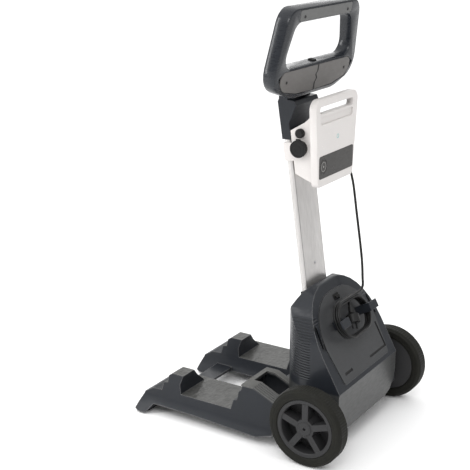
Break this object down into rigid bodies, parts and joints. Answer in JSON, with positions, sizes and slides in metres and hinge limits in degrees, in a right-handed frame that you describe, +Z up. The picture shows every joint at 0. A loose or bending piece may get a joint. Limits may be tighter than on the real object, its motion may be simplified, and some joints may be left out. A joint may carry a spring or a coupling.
{
  "type": "pool cleaner caddy",
  "caption": "Two-wheeled trolley that carries a pool-cleaning robot, with hinged handle, power supply on the mast and a coiled cord.",
  "frame": {"origin": "on the ground, in the middle of the object's box seen from above (the cord left out)", "axes": "+Z up, +Y from the wheels towards the lifting forks, +X to the right of the person who stands behind the handle"},
  "size_m": [0.512, 0.63, 1.0879],
  "materials": {
    "charcoal_plastic": "satin, fine grain",
    "grey_plastic": "grained",
    "grip_plastic": "grained",
    "rubber": "matt",
    "tyre": "matt",
    "aluminium": "brushed, anodised",
    "steel": "zinc plated",
    "white_plastic": "satin",
    "panel_dark": "semi-gloss",
    "circuit_board": "solder mask",
    "transformer": "potted winding",
    "cord_rubber": "matt"
  },
  "bodies": {
    "frame": {"deck_base": "charcoal_plastic", "lug_cap_left": "grey_plastic", "lug_cap_right": "grey_plastic", "foot_pad_left": "rubber", "foot_pad_right": "rubber", "hood_shell": "charcoal_plastic", "rear_cover": "charcoal_plastic", "cord_hook_left": "charcoal_plastic", "cord_hook_right": "charcoal_plastic", "mast_clip_left": "rubber", "mast_clip_right": "rubber", "mast": "aluminium", "mast_screw": "steel", "handle_neck": "charcoal_plastic", "handle_pin": "steel", "axle": "steel", "axle_clip_left": "steel", "axle_clip_right": "steel", "psu_front_shell": "white_plastic", "psu_rear_shell": "white_plastic", "psu_panel": "panel_dark", "psu_socket": "panel_dark", "cap_boss": "rubber", "circuit_board": "circuit_board", "transformer": "transformer", "psu_bracket": "grey_plastic", "cord_gland": "cord_rubber", "cord_lead": "cord_rubber", "cord_coil": "cord_rubber", "mains_plug": "cord_rubber"},
    "wheel_left": {"tyre_left": "tyre", "wheel_hub_left": "grey_plastic", "bush_left": "white_plastic", "hub_cap_left": "grey_plastic"},
    "wheel_right": {"tyre_right": "tyre", "wheel_hub_right": "grey_plastic", "bush_right": "white_plastic", "hub_cap_right": "grey_plastic"},
    "handle": {"handle_loop": "charcoal_plastic", "handle_panel_left": "grey_plastic", "handle_panel_right": "grey_plastic", "handle_grip": "grip_plastic", "screw_grip_left": "steel", "screw_grip_right": "steel", "screw_panel_left": "steel", "screw_panel_right": "steel"},
    "fold_button": {"fold_button": "rubber"},
    "power_button": {"power_button": "panel_dark"},
    "socket_cap": {"socket_cap": "rubber"},
    "bracket_knob": {"bracket_knob": "charcoal_plastic"},
    "cover_latch": {"cover_latch": "rubber"}
  },
  "joints": [
    {"name": "wheel_left_spin", "type": "hinge", "parent": "frame", "child": "wheel_left", "pos_m": [-0.2335, -0.215, 0.1], "axis": [1, 0, 0], "continuous": true},
    {"name": "wheel_right_spin", "type": "hinge", "parent": "frame", "child": "wheel_right", "pos_m": [0.2335, -0.215, 0.1], "axis": [1, 0, 0], "continuous": true},
    {"name": "handle_fold", "type": "hinge", "parent": "frame", "child": "handle", "pos_m": [0, -0.033, 0.869], "axis": [-1, 0, 0], "range_deg": [0, 105]},
    {"name": "fold_button_press", "type": "slide", "parent": "handle", "child": "fold_button", "axis": [0, 0.1702, -0.9854], "range_m": [0, 0.003], "stiffness_N_per_m": 400, "springref_m": -0.002},
    {"name": "power_button_press", "type": "slide", "parent": "frame", "child": "power_button", "axis": [0, 1, 0], "range_m": [0, 0.001], "stiffness_N_per_m": 1500, "springref_m": -0.001},
    {"name": "socket_cap_flip", "type": "hinge", "parent": "frame", "child": "socket_cap", "pos_m": [-0.0838, -0.091, 0.7665], "axis": [0, 1, 0], "range_deg": [0, 110]},
    {"name": "bracket_knob_turn", "type": "hinge", "parent": "frame", "child": "bracket_knob", "pos_m": [0, -0.0364, 0.7235], "axis": [0, 0.9898, -0.1421], "range_deg": [0, 720]},
    {"name": "cover_latch_press", "type": "slide", "parent": "frame", "child": "cover_latch", "axis": [0, -0.4819, -0.8762], "range_m": [0, 0.003], "stiffness_N_per_m": 400, "springref_m": -0.002}
  ]
}
